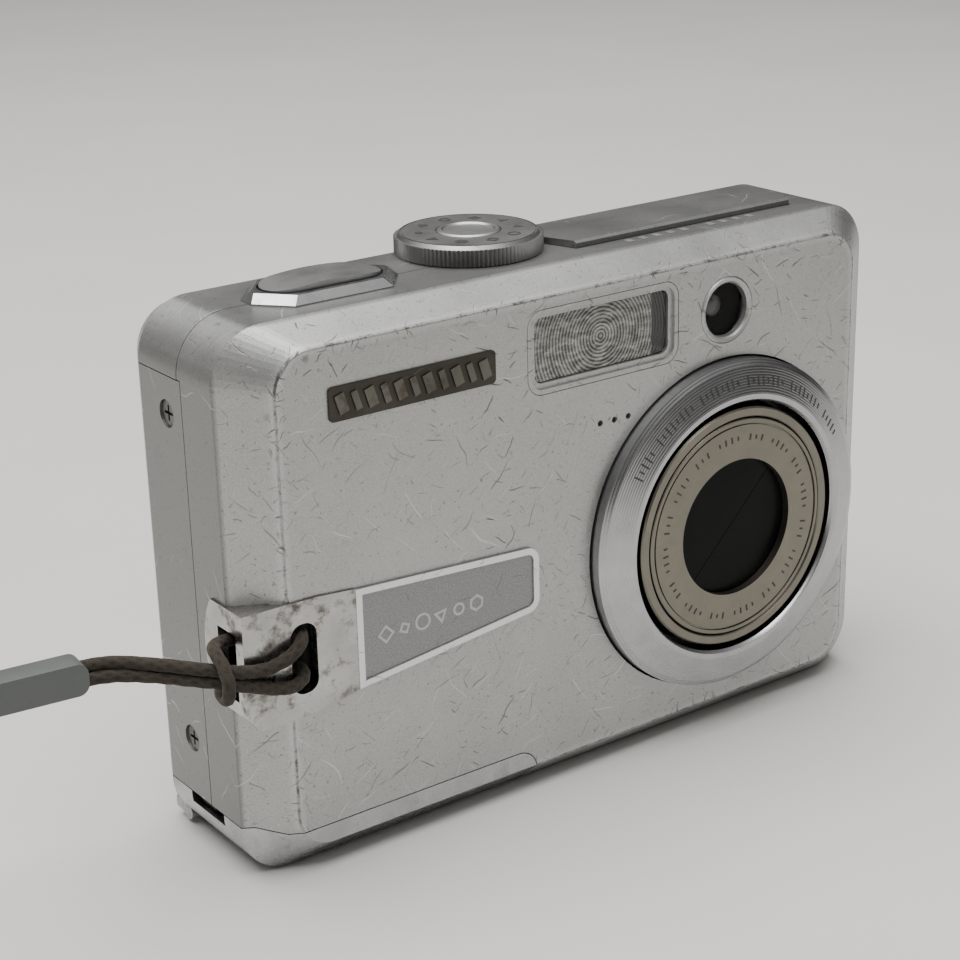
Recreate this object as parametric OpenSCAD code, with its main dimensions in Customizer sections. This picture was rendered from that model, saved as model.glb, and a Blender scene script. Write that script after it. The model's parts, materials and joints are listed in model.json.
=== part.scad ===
// Compact digital camera with a retracted zoom lens, two AA cells and a wrist strap clip.
// Drawn with the front face in the plane y = 0, the inside towards +Y and the bottom at z = 0,
// then shifted by in_frame() so that the origin is the middle of the footprint.

/* [Body] */
// Width of the body
body_w = 89; // [88:0.5:91]
// Height of the body to its top face
body_h = 60.2; // [60:0.1:61]
// Depth over the lens ring and the rear keys
depth = 26; // [26:0.1:27]
// Depth of the flat side face's far edge
side_d = 18.3; // [18.2:0.1:18.6]
// Depth of the flat back face
back_d = 22.4; // [22.3:0.1:22.6]
// Corner radius of the body seen from the front
corner_r = 6; // [5:0.5:7]
// Wall thickness of the covers
wall = 1.3; // [1.2:0.05:1.4]
// Depth of the bevel round the front face
bevel_d = 3.4; // [3:0.1:3.6]
// Depth of the seam between the front and rear covers
seam_d = 9.6; // [9.4:0.1:10]
// Height of the joint below the top cover
top_joint_z = 54; // [53.9:0.1:54.4]
// Width of the visible seams
seam_gap = 0.12; // [0.08:0.01:0.16]

/* [Lens] */
// Lens axis across
lens_x = 20; // [19.8:0.1:20.2]
// Lens axis height
lens_z = 25.8; // [25.6:0.1:26]
// Outer radius of the bright ring round the lens
ring_r = 19.9; // [19.7:0.05:20]
// Radius of the outer barrel
barrel_r = 14.5; // [14.4:0.05:14.6]
// Radius of the opening in the lens front
aperture_r = 8.3; // [8:0.1:8.5]
// How far the ring stands in front of the front face
ring_proud = 2.75; // [2.6:0.05:2.8]

/* [Controls] */
// Mode dial radius
dial_r = 8.25; // [8:0.05:8.4]
// Mode dial height above the top face
dial_h = 2.3; // [2:0.1:2.6]
// Number of ridges round the mode dial
dial_ridges = 104; // [60:2:120]
// Shutter button length
button_l = 13.8; // [13:0.1:14]
// Shutter button width
button_w = 6; // [5.6:0.1:6.2]

/* [Battery door] */
// Right-hand end of the door
door_end_x = -8; // [-9:0.1:-7.8]
// Top of the door on the front face
door_z = 5.2; // [5:0.1:5.4]
// Top of the door on the side face
door_side_z = 6.3; // [6:0.1:6.5]

/* [Strap] */
// Diameter of the strap cord
cord_d = 1.25; // [1.2:0.01:1.3]

/* [Hidden] */
$fn = 64;

silver = [0.68, 0.68, 0.67];
champagne = [0.62, 0.59, 0.53];
chrome_grey = [0.8, 0.8, 0.81];
near_black = [0.05, 0.05, 0.06];
glassy = [0.75, 0.8, 0.82];
steel = [0.6, 0.6, 0.62];

half_w = body_w / 2;
mid_z = body_h / 2;
front_shift = depth / 2 - ring_proud;    // from the front face to the middle of the depth
back_inset = 3.2;                        // the back face is this much smaller all round
front_left = 5.2;                        // bevel widths on the left, right, bottom and top
front_right = 4.5;
front_bottom = 3.1;
front_top = 2.55;
thin = 0.02;
top_seam_step = 0.7;                      // the seam on the top lies this much further back

module in_frame() translate([0, -front_shift, 0]) children();

// ---- 2D outlines in x and z, and their extrusions ----

module rounded(x0, x1, z0, z1, r) {
    translate([x0 + r, z0]) square([x1 - x0 - 2 * r, z1 - z0]);
    translate([x0, z0 + r]) square([x1 - x0, z1 - z0 - 2 * r]);
    for (x = [x0 + r, x1 - r], z = [z0 + r, z1 - r]) translate([x, z]) circle(r);
}

// A box given as [x0, x1, z0, z1], made smaller all round by inset
module inset_box(b, inset, r) rounded(b[0] + inset, b[1] - inset, b[2] + inset, b[3] - inset, r);

module along_y(y0, y1) translate([0, y1, 0]) rotate([90, 0, 0]) linear_extrude(y1 - y0) children();

module along_z(z0, z1) translate([0, 0, z0]) linear_extrude(z1 - z0) children();

module stadium(l, w) {
    square([l - w, w], center = true);
    for (s = [-1, 1]) translate([s * (l - w) / 2, 0]) circle(w / 2);
}

module disc_y(x, z, r, y0, y1) translate([x, y1, z]) rotate([90, 0, 0]) cylinder(r = r, h = y1 - y0);

module bar_x(y, z, r, x0, x1) translate([x0, y, z]) rotate([0, 90, 0]) cylinder(r = r, h = x1 - x0);

// Turned piece about the lens axis: profile points are [radius, depth]
module turned(x, z, profile) translate([x, 0, z]) rotate([-90, 0, 0]) rotate_extrude($fn = 96)
    polygon(profile);

// ---- the body's form, its hollow and its parting regions ----

module full_outline(inset = 0)
    rounded(-half_w + inset, half_w - inset, inset, body_h - inset, corner_r - min(inset, corner_r - 1.5));

module front_outline()
    rounded(-half_w + front_left, half_w - front_right, front_bottom, body_h - front_top, 4.2);

module front_bevel() hull() {
    along_y(0, thin) front_outline($fn = 48);
    along_y(bevel_d - thin, bevel_d) full_outline($fn = 48);
}

module rear_bevel() hull() {
    along_y(side_d, side_d + thin) full_outline($fn = 48);
    along_y(side_d + 2.2, side_d + 2.2 + thin) full_outline(inset = 1, $fn = 48);
    along_y(back_d - thin, back_d) full_outline(inset = back_inset, $fn = 48);
}

module body_form() {
    front_bevel();
    along_y(bevel_d, side_d) full_outline();
    rear_bevel();
}

// Each step of the hollow: start depth, end depth, inset across, inset in height
hollow_steps = [[wall, 2.8, 4.7, 3.9], [2.8, 4.2, 2.7, 2.4], [4.2, side_d - 0.7, wall, wall],
    [side_d - 0.7, 19.4, 2.4, 2.4], [19.4, back_d - wall, 4, 4]];

module hollow() for (s = hollow_steps)
    along_y(s[0], s[1]) rounded(-half_w + s[2], half_w - s[2], s[3], body_h - s[3], 2.5);

// The top cover's plan: it steps forward to the right of the mode dial
module top_plan(gap = 0) {
    back = seam_d + top_seam_step - gap;
    polygon([[-half_w - 1, back], [2.2 - gap, back], [3.4 - gap, 6.4 - gap], [35.5 + gap, 6.4 - gap],
        [37 + gap, back], [half_w + 1, back], [half_w + 1, 30], [-half_w - 1, 30]]);
}

module top_region(gap = 0) along_z(top_joint_z - gap, body_h + 3) top_plan(gap);

// What lies in front of the seam, which steps back above the top cover's joint
module front_region(gap = 0) {
    translate([-60, -10, -10]) cube([120, 10 + seam_d + gap, 100]);
    translate([-60, -10, top_joint_z - gap]) cube([120, 10 + seam_d + top_seam_step + gap, 20]);
}

door_round = 2.5;

// The door's outline seen from the front, with the gap of the opening round it
module door_outline(gap = 0) {
    polygon([[-half_w - 4, -1], [-half_w - 4, door_side_z + gap], [-half_w + wall, door_side_z + gap],
        [-half_w + 4.2, door_z + gap], [door_end_x - door_round, door_z + gap],
        [door_end_x - door_round, door_z - door_round], [door_end_x + gap, door_z - door_round],
        [door_end_x + gap, -1]]);
    translate([door_end_x - door_round, door_z - door_round]) circle(door_round + gap);
}

hinge_y = 18.2;        // door hinge axis, along X near the back of the bottom
hinge_z = 1.4;
hinge_r = 1.4;
pin_r = 0.57;
pin_bore = 0.6;
sleeve_x = [-33.8, -20.2];
knuckle_x = [[-39, -33.88], [-20.12, -13]];
rib_x = [[-43.05, -41.7], [-10.3, -9]];

module door_region(gap = 0) {
    along_y(-1, hinge_y + gap) door_outline(gap);
    bar_x(hinge_y, hinge_z, hinge_r + gap, -half_w - 1, door_end_x + gap);
    translate([-half_w - 1, hinge_y, -1]) cube([half_w + 1 + door_end_x + gap, hinge_r + 0.15, hinge_z + 1]);
}

// ---- places of the controls and fittings ----

finder = [20, 51.5];
flash_box = [-8.4, 12.8, 46.9, 56.4];
flash_pane = [-7.1, 11.4, 48.2, 55.3];
flash_mid_z = 51.75;
mic_x = [1.5, 3.5, 5.5];
mic_z = 42;
badge_left = -31.3;
plate_box = [-33.3, -12.7, 49.65, 53.3];
shutter = [-26.9, 10.7];
dial = [-5.9, 13.65];
pad = [-26, 27];
rocker = [-30, 49.8];
small_keys = [[-15.5, 42.5], [-15.5, 10.5], [-15.5, 50.3], [-35.5, 10.5]];
lcd_box = [-7.5, 40.3, 8, 46.2];
eyepiece_box = [15.8, 24.2, 48.7, 53.7];
jack_box = [11.4, 17.4, 21, 33];        // y and z range of the side jack cover
screws = [[12.9, 49.8], [12.9, 13.1]];
tripod = [20, 14];
bush_r = 4;
bush_flange_z = 2.45;

module key_holes() {
    disc_y(pad[0], pad[1], 9.6, 20, 24);
    for (k = small_keys) disc_y(k[0], k[1], 2.5, 20, 24);
    along_y(20, 24) translate(rocker) stadium(16.4, 5.6);
}

module front_openings() {
    disc_y(lens_x, lens_z, ring_r + 0.25, -1, 6);
    along_y(-1, 2) inset_box(flash_box, 0, 2);
    disc_y(finder[0], finder[1], 3.9, -1, 5);
    for (x = mic_x) disc_y(x, mic_z, 0.36, -1, 2);
    shutter_hole();
    lug_pocket();
}

// Space behind the strap lug's corner post, where the cord passes
module lug_pocket() translate([-half_w - 1, -1, 20.4]) cube([9.6, 7.2, 10]);

// ---- covers ----

module front_cover() color(silver) in_frame() difference() {
    intersection() {
        body_form();
        front_region(-seam_gap / 2);
    }
    hollow();
    top_region(seam_gap);
    door_region(seam_gap);
    front_openings();
}

module rear_cover() color(silver) in_frame() {
    difference() {
        body_form();
        hollow();
        front_region(seam_gap / 2);
        top_region(seam_gap);
        door_region(seam_gap);
        key_holes();
        along_y(20, 24) inset_box(lcd_box, 0, 1.5);
        along_y(20, 24) inset_box(eyepiece_box, 0, 1);
        translate([30, jack_box[0], jack_box[2]])
            cube([20, jack_box[1] - jack_box[0], jack_box[3] - jack_box[2]]);
        for (side = [-1, 1], s = screws) side_screw_holes(side, s);
        translate([tripod[0], tripod[1], -1]) cylinder(r = bush_r + 0.1, h = 5);
    }
    door_ribs();
    tripod_boss();
}

// Ring on the bottom wall that the tripod bush's flange rests on
module tripod_boss() difference() {
    translate([tripod[0], tripod[1], wall - 0.2]) cylinder(r = bush_r + 1.1, h = bush_flange_z - wall + 0.2);
    translate([tripod[0], tripod[1], 0]) cylinder(r = bush_r + 0.1, h = 4);
    front_region(seam_gap / 2);
}

module side_screw_holes(side, s) translate([side * half_w, s[0], s[1]]) rotate([0, 90, 0]) {
    translate([0, 0, -0.7]) cylinder(r = 1.5, h = 1.4);
    translate([0, 0, -4]) cylinder(r = 0.8, h = 8);
}

// Notch in the door's side lip, for an adapter cable
module cable_notch() translate([-half_w - 1, 7, 5]) cube([3, 7, 2]);

module door_ribs() for (x = rib_x) difference() {
    union() {
        bar_x(hinge_y, hinge_z, 0.95, x[0], x[1]);
        translate([x[0], hinge_y, 1.05]) cube([x[1] - x[0], 2.6, 1.25]);
    }
    bar_x(hinge_y, hinge_z, pin_bore, x[0] - 1, x[1] + 1);
}

hump_h = 0.8;        // the top cover's raised front edge, which falls away to the back

module hump() difference() {
    intersection() {
        translate([-60, 0, 0]) rotate([90, 0, 90]) linear_extrude(120)
            polygon([[6.4, body_h - wall], [6.4, body_h + hump_h - 0.25], [6.7, body_h + hump_h],
                [12.5, body_h + hump_h - 0.1], [side_d, body_h - 0.02], [side_d, body_h - wall]]);
        along_z(body_h - wall, body_h + 3) polygon([[0.6, side_d], [2.2, seam_d + top_seam_step], [3.4, 6.4],
            [35.5, 6.4], [37, seam_d + top_seam_step], [37.8, side_d]]);
    }
    translate([dial[0], dial[1], body_h]) cylinder(r = dial_r + 0.4, h = 5);
}

module top_cover() color(silver) in_frame() difference() {
    union() {
        intersection() {
            difference() {
                body_form();
                hollow();
            }
            top_region();
        }
        hump();
    }
    shutter_hole();
    translate([dial[0], dial[1], 50]) cylinder(r = 1.6, h = 20);
}

module shutter_hole() translate([shutter[0], shutter[1], 50]) cylinder(r = 1.7, h = 20);

// ---- battery door ----

module battery_door() color(chrome_grey) in_frame() difference() {
    intersection() {
        body_form();
        union() {
            difference() {
                along_y(-1, hinge_y) door_outline();
                hollow();
            }
            for (k = knuckle_x) bar_x(hinge_y, hinge_z, hinge_r, k[0], k[1]);
        }
    }
    bar_x(hinge_y, hinge_z, pin_bore, -half_w + 3, door_end_x + 1);
    bar_x(hinge_y, hinge_z, hinge_r + 0.1, sleeve_x[0] - 0.05, sleeve_x[1] + 0.05);
    bar_x(hinge_y, hinge_z, hinge_r + 0.1, -half_w + wall + 0.05, knuckle_x[0][0]);
    bar_x(hinge_y, hinge_z, hinge_r + 0.1, knuckle_x[1][1], door_end_x + 1);
    cable_notch();
}

module door_hinge_sleeve() color(steel) in_frame() difference() {
    bar_x(hinge_y, hinge_z, hinge_r, sleeve_x[0], sleeve_x[1]);
    bar_x(hinge_y, hinge_z, pin_bore, sleeve_x[0] - 1, sleeve_x[1] + 1);
}

module door_hinge_pin() color(steel) in_frame() bar_x(hinge_y, hinge_z, pin_r, rib_x[0][0], rib_x[1][1]);

cell_r = 7.25;
cell_y = 9.7;
cell_x = [-33.2, -18.2];
cell_z = [5.2, 55.7];
spring_pitch = 1.4;

module door_contacts() color("goldenrod") in_frame() {
    along_z(wall, wall + 0.4) translate([(cell_x[0] + cell_x[1]) / 2, cell_y]) square([26, 9], center = true);
    for (x = cell_x, i = [0:2]) translate([x, cell_y, wall + 0.7 + spring_pitch * i])
        rotate_extrude($fn = 48) translate([3.6 - 0.8 * i, 0]) circle(0.35, $fn = 16);
    for (x = cell_x, i = [0:1]) translate([x + 2.6 - 0.8 * i, cell_y - 0.3, wall + 0.7 + spring_pitch * i])
        cube([1.2, 0.6, spring_pitch]);
}

// ---- strap lug, badge and name plate ----

lug_top = 31.8;
lug_bottom = 18.6;
lug_proud = 0.3;
badge_right = -7.5;

// The front flange tapers towards the badge
module lug_front() along_y(-lug_proud, 0.9) polygon([[-half_w - lug_proud, lug_bottom + 1.9],
    [-43.4, lug_bottom + 0.2], [-41.5, lug_bottom], [-36, lug_bottom + 0.4], [badge_left, 19.8],
    [badge_left, 31.3], [-36, lug_top - 0.1], [-half_w - lug_proud, lug_top]]);

// The side flange's far edge is an arc
module lug_side() intersection() {
    translate([-half_w - lug_proud, -lug_proud, lug_bottom + 1.9])
        cube([1.1, 8.4, lug_top - lug_bottom - 1.9]);
    translate([-half_w - 2, -1.9, 26.4]) rotate([0, 90, 0]) cylinder(r = 9.6, h = 6);
}

module lug_ends() for (z = [lug_bottom + 1.9, lug_top - 1.2]) along_z(z, z + 1.2)
    polygon([[-half_w - lug_proud, -lug_proud], [-39.2, -lug_proud], [-half_w - lug_proud, 3.6]]);

module strap_lug() color(chrome_grey) in_frame() difference() {
    union() {
        lug_front();
        lug_side();
        lug_ends();
    }
    along_y(-2, 4) rounded(-39.3, -36.2, 21.4, 29.2, 1.4);
    translate([-half_w - 2, 1.2, 21.9]) cube([3, 3.6, 7.4]);
    intersection() {
        body_form();
        difference() {
            translate([-half_w - 2, -0.01, lug_bottom - 1]) cube([20, 12, 15]);
            lug_keep();
        }
    }
}

// The flanges are let into the covers' pocket only near the cord slots
module lug_keep() translate([-half_w - 2, -0.02, 20.4]) cube([10.6, 6.2, 10]);

module badge_shape(inset = 0) {
    polygon([[badge_left + inset, 19.9 + inset], [badge_right - 1.6, 22.3 + inset],
        [badge_right - inset, 23.9], [badge_right - inset, 28.4], [badge_right - 1.6, 30 - inset],
        [badge_left + inset, 31.2 - inset]]);
    for (z = [23.9, 28.4]) translate([badge_right - 1.6, z]) circle(1.6 - inset);
}

module model_badge() color(chrome_grey) in_frame() difference() {
    along_y(-0.35, 0) badge_shape();
    along_y(-1, -0.15) badge_shape(0.75);
}

module name_plate() color([0.33, 0.31, 0.28]) in_frame() along_y(-0.2, 0) inset_box(plate_box, 0, 0.5);

// ---- lens ----

module lens_ring() color(chrome_grey) in_frame() turned(lens_x, lens_z, [[15.2, 0.8], [15.2, -2.3],
    [15.5, -2.7], [16.1, -ring_proud], [19.2, -1.75], [ring_r, -1.3], [ring_r, 0.8]]);

module lens_housing() color(near_black) in_frame() difference() {
    union() {
        turned(lens_x, lens_z, [[14.8, 0.9], [16.4, 0.9], [16.4, 17], [4.5, 17], [4.5, 16], [14.8, 16]]);
        turned(lens_x, lens_z, [[16, 0.85], [19.6, 0.85], [19.6, 1.7], [16, 1.7]]);
    }
    translate([lens_x - 1.2, 4, lens_z + 14]) cube([2.4, 8, 3]);
}

lens_front = -2.4;      // depth of the lens front when retracted
barrel_travel = 11;
inner_travel = 8;

module outer_barrel() color(champagne) in_frame() turned(lens_x, lens_z, [[13.3, lens_front + 0.15],
    [13.45, lens_front], [barrel_r - 0.2, lens_front], [barrel_r, lens_front + 0.2], [barrel_r, 13.8],
    [13.3, 13.8]]);

module inner_barrel() color(champagne) in_frame() {
    turned(lens_x, lens_z, [[aperture_r, lens_front + 0.05], [12.4, lens_front + 0.05],
        [12.45, lens_front + 0.2], [12.6, lens_front + 0.2], [12.65, lens_front], [13.05, lens_front],
        [13.15, lens_front + 0.1], [13.15, 12], [12, 12], [12, 2.9], [7.05, 2.9], [7.05, 1.9], [12, 1.9],
        [12, lens_front + 1], [aperture_r, lens_front + 1]]);
}

blade_y = [-1.3, -0.95];
blade_r = 8.6;
blade_pivot = 9.9;        // distance of each blade's pivot from the lens axis

// Half disc below the diagonal parting line, with an ear to its pivot
module blade_shape() {
    intersection() {
        circle(blade_r);
        translate([-10, -20.04]) square([20, 20]);
    }
    intersection() {
        translate([-blade_pivot, -1.6]) circle(1.5);
        translate([-12, -20.04]) square([12, 20]);
    }
}

module blade(turn) color(near_black) in_frame() along_y(blade_y[0], blade_y[1])
    translate([lens_x, lens_z]) rotate(turn) blade_shape();

module barrier_blade_upper() blade(225);
module barrier_blade_lower() blade(45);

module front_lens() color(glassy) in_frame() intersection() {
    disc_y(lens_x, lens_z, 7, -0.5, 3.2);
    translate([lens_x, 11.6, lens_z]) sphere(r = 12.1, $fn = 96);
}

module rear_lens() color(glassy) in_frame() disc_y(lens_x, lens_z, 4.46, 16.1, 16.9);

module image_sensor() color("darkgreen") in_frame() {
    along_y(17.05, 17.6) rounded(lens_x - 4.4, lens_x + 4.4, lens_z - 3.6, lens_z + 3.6, 0.3);
    along_y(17.6, 18.5) rounded(lens_x - 9, lens_x + 9, lens_z - 8, lens_z + 8, 0.8);
}

module zoom_motor() color(steel) in_frame() {
    disc_y(38, 43, 3.2, 4.5, 13);
    disc_y(38, 43, 0.9, 13, 15);
}

// ---- flash and viewfinder ----

module flash_bezel() color(champagne) in_frame() difference() {
    along_y(0.02, 1.9) inset_box(flash_box, 0.08, 1.9);
    along_y(-1, 0.35) inset_box(flash_box, 0.6, 1.5);
    along_y(-1, 3) inset_box(flash_pane, -0.1, 1);
}

module flash_window() color(glassy) in_frame() along_y(0.7, 1.8) inset_box(flash_pane, 0, 0.9);

module flash_reflector() color(chrome_grey) in_frame() difference() {
    along_y(2, 6.8) inset_box(flash_pane, 0.15, 0.6);
    bar_x(2, flash_mid_z, 3.1, flash_pane[0] + 0.8, flash_pane[1] - 0.8);
    bar_x(5, flash_mid_z, 1.3, flash_pane[0] - 1, flash_pane[1] + 1);
}

module flash_tube() color(glassy) in_frame()
    bar_x(5, flash_mid_z, 1.1, flash_pane[0] + 0.4, flash_pane[1] - 0.4);

module flash_capacitor() color([0.12, 0.12, 0.14]) in_frame() along_z(8, 38)
    translate([-4.6, 7.2]) circle(4.6);

module finder_ring() color(champagne) in_frame() turned(finder[0], finder[1], [[3.1, 0.75], [3.15, 0.1],
    [3.35, -0.1], [3.7, -0.15], [3.84, 0], [3.84, 1.2], [3.1, 1.2]]);

module finder_window() color(glassy) in_frame() disc_y(finder[0], finder[1], 3.05, 0.7, 1.2);

module finder_tube() color(near_black) in_frame() difference() {
    along_y(1.35, 20.9) rounded(finder[0] - 4, finder[0] + 4, finder[1] - 3.7, finder[1] + 3.7, 0.6);
    disc_y(finder[0], finder[1], 3.2, 0, 7.5);
    disc_y(finder[0], finder[1], 1.3, 7, 17);
    along_y(16, 22) rounded(finder[0] - 3.2, finder[0] + 3.2, finder[1] - 2.1, finder[1] + 2.1, 0.5);
}

module finder_lens() color(glassy) in_frame() intersection() {
    disc_y(finder[0], finder[1], 1.27, 6.2, 9);
    translate([finder[0], 8.6, finder[1]]) sphere(r = 2.2, $fn = 64);
}

module eyepiece_window() color(glassy) in_frame() along_y(21.1, 22.1) inset_box(eyepiece_box, 0.08, 0.9);

module microphone() color(steel) in_frame() disc_y(mic_x[1], mic_z, 2.6, wall + 0.02, 3);

// ---- top controls ----

bezel_l = 17.8;
bezel_w = 9.4;

module bezel_plan(grow) {
    l = bezel_l / 2 + grow;
    w = bezel_w / 2 + grow;
    c = 3;
    polygon([[-l, -w + c + 0.6], [-l + c, -w], [l - c, -w], [l, -w + c + 0.6], [l, w - c - 0.6], [l - c, w],
        [-l + c, w], [-l, w - c - 0.6]]);
}

module shutter_bezel() color(chrome_grey) in_frame() translate([shutter[0], shutter[1], body_h])
    difference() {
        hull() {
            along_z(0, 0.15) bezel_plan(0);
            along_z(0.95, 1) bezel_plan(-0.75);
        }
        along_z(-1, 2) stadium(button_l + 0.5, button_w + 0.5, $fn = 48);
    }

button_travel = 0.8;

module shutter_button() color(silver) in_frame() translate([shutter[0], shutter[1], body_h]) {
    intersection() {
        along_z(button_travel + 0.05, 1.75) stadium(button_l, button_w);
        translate([0, 0, -38.3]) rotate([90, 0, 0]) cylinder(r = 40, h = 20, center = true, $fn = 128);
    }
    translate([0, 0, -wall - 1.2]) cylinder(r = 1.6, h = wall + 1.2 + button_travel + 0.4);
}

module shutter_switch() color(near_black) in_frame() along_z(56.4, 56.85)
    translate(shutter) square([9, 7], center = true);

function ridge_point(i, n, r, depth) = let (a = 360 * i / (2 * n)) (r - (i % 2) * depth) * [cos(a), sin(a)];

module ridged(r, n, depth) polygon([for (i = [0:2 * n - 1]) ridge_point(i, n, r, depth)]);

module mode_dial() color([0.5, 0.5, 0.49]) in_frame() translate([dial[0], dial[1], body_h]) {
    difference() {
        union() {
            translate([0, 0, 0.12]) linear_extrude(dial_h - 0.5) ridged(dial_r, dial_ridges, 0.28);
            translate([0, 0, dial_h - 0.38])
                cylinder(r1 = dial_r - 0.36, r2 = dial_r - 0.66, h = 0.38);
        }
        translate([0, 0, dial_h - 0.12]) difference() {
            cylinder(r = 7.55, h = 1);
            translate([0, 0, -1]) cylinder(r = 7.35, h = 3);
        }
        translate([0, 0, dial_h - 0.35]) cylinder(r = 3.65, h = 1);
    }
    translate([0, 0, -3.6]) cylinder(r = 1.55, h = 4);
}

module dial_cap() color(silver) in_frame() translate([dial[0], dial[1], body_h + dial_h - 0.35])
    rotate_extrude() polygon([[0, 0], [3.55, 0], [3.55, 0.35], [3.3, 0.5], [3, 0.5], [2.8, 0.32], [0, 0.2]]);

module dial_switch() color(near_black) in_frame() translate([dial[0], dial[1], 56.1]) difference() {
    cylinder(r = 5, h = 1.1);
    translate([0, 0, -1]) cylinder(r = 1.62, h = 4);
}

// ---- rear face ----

module lcd_window() color(near_black) in_frame() along_y(21.5, 22.65) inset_box(lcd_box, 0.08, 1.4);

module lcd_panel() color([0.1, 0.12, 0.2]) in_frame() along_y(19.3, 21.3) inset_box(lcd_box, 0.6, 0.6);

module key_board() color("darkgreen") in_frame() along_y(20.22, 20.46) rounded(-40.3, -9.5, 5, 54, 1);

// A round key with a flange inside the cover
module round_key(at, r) {
    disc_y(at[0], at[1], r, 20.85, 22.95);
    disc_y(at[0], at[1], r + 0.5, 20.8, 21.02);
}

module playback_button() color(silver) in_frame() round_key(small_keys[0], 2.35);
module menu_button() color(silver) in_frame() round_key(small_keys[1], 2.35);
module power_button() color(silver) in_frame() round_key(small_keys[2], 2.35);
module mode_button() color([0.3, 0.55, 0.35]) in_frame() round_key(small_keys[3], 2.35);

module zoom_rocker() color(silver) in_frame() {
    difference() {
        along_y(21.2, 23.1) translate(rocker) stadium(16, 5.2);
        for (s = [-1, 1]) disc_y(rocker[0] + s * 4.4, rocker[1], 1.6, 22.9, 24);
    }
    disc_y(rocker[0], rocker[1], 1.4, 20.6, 21.4);
}

module pad_ring() color(near_black) in_frame() difference() {
    disc_y(pad[0], pad[1], 5.6, 20.8, 20.95);
    disc_y(pad[0], pad[1], 4.9, 20, 22);
}

module four_way_pad() color(silver) in_frame() difference() {
    turned(pad[0], pad[1], [[4.65, 21.4], [9.35, 21.4], [9.35, 22.6], [8.9, 23], [5.3, 23.05], [4.65, 22.8]]);
    for (a = [0:90:270]) translate([pad[0], 23.6, pad[1]]) rotate([0, a, 0]) translate([7.1, 0, 0])
        rotate([90, 0, 0]) cylinder(r = 0.5, h = 0.8, $fn = 24);
}

module ok_button() color(silver) in_frame() {
    disc_y(pad[0], pad[1], 4.35, 21.2, 23.25);
    disc_y(pad[0], pad[1], 2, 20.8, 21.4);
}

// ---- side and bottom fittings ----

module jack_cover() color([0.45, 0.45, 0.45]) in_frame() {
    translate([half_w - 1.1, jack_box[0] + 0.1, jack_box[2] + 0.1])
        cube([1.1, jack_box[1] - jack_box[0] - 0.75, jack_box[3] - jack_box[2] - 0.2]);
    translate([half_w - 0.55, jack_box[1] - 0.65, jack_box[2] + 0.1])
        cylinder(r = 0.55, h = jack_box[3] - jack_box[2] - 0.2, $fn = 32);
}

module usb_jack() color(steel) in_frame() difference() {
    translate([36.8, 11.9, 23.6]) cube([6, 3.9, 6.8]);
    translate([38.6, 12.3, 24]) cube([6, 3.1, 6]);
}

// Soft plug that hangs from the rear cover's edge into the notch
module cable_plug() color([0.28, 0.2, 0.15]) in_frame() translate([-half_w + 0.7, 9.9, 5.3])
    cube([0.5, 3, door_side_z + seam_gap - 5.3]);

module tripod_bush() color("goldenrod") in_frame() translate([tripod[0], tripod[1], 0]) difference() {
    union() {
        translate([0, 0, 0.1]) cylinder(r = bush_r, h = 5.4);
        translate([0, 0, bush_flange_z]) cylinder(r = bush_r + 1, h = 1.2);
    }
    translate([0, 0, -1]) cylinder(r = 2.6, h = 5.9);
    translate([0, 0, -1]) cylinder(r = 3.1, h = 1.5);
}

module cover_screw(side, s) translate([side * (half_w - 0.25), s[0], s[1]]) rotate([0, -side * 90, 0])
    difference() {
        union() {
            cylinder(r = 1.4, h = 0.42);
            cylinder(r = 0.7, h = 1.7);
        }
        for (a = [0, 90]) rotate(a) translate([-0.85, -0.16, -1]) cube([1.7, 0.32, 1.3]);
    }

module cover_screws() color(steel) in_frame() for (side = [-1, 1], s = screws) cover_screw(side, s);

// ---- inside ----

module chassis_plate() color(steel) in_frame() difference() {
    along_y(18.6, 19.1) rounded(-9, 41.8, 5, 46.8, 1);
    for (x = [-6, 39.5], z = [8, 44]) disc_y(x, z, 1, 18, 20);
}

module battery_box() color([0.2, 0.2, 0.2]) in_frame() difference() {
    along_z(cell_z[0] + 0.3, cell_z[1] + 0.25) translate([(cell_x[0] + cell_x[1]) / 2, cell_y])
        stadium(cell_x[1] - cell_x[0] + 2 * cell_r + 1.6, 2 * cell_r + 1.6);
    for (x = cell_x) translate([x, cell_y, 0]) cylinder(r = cell_r + 0.12, h = cell_z[1] + 0.02);
}

module battery_cells() color([0.75, 0.6, 0.2]) in_frame() for (x = cell_x) {
    translate([x, cell_y, cell_z[0]]) cylinder(r = cell_r, h = cell_z[1] - cell_z[0] - 1);
    translate([x, cell_y, cell_z[0]]) cylinder(r = 2.6, h = cell_z[1] - cell_z[0]);
}

module card_slot() color(steel) in_frame() difference() {
    translate([-39.8, 17.8, 6.8]) cube([27, 2.35, 30]);
    translate([-38.4, 17.9, 5]) cube([24.2, 2.14, 30]);
}

module main_board() color("darkgreen") in_frame() {
    along_y(13.4, 14.4) rounded(-10.9, 3.2, 5, 46, 0.6);
    translate([-9, 14.4, 24]) cube([9, 1.1, 9]);
    translate([-9, 14.4, 10]) cube([7, 1, 7]);
}

// ---- strap ----

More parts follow.
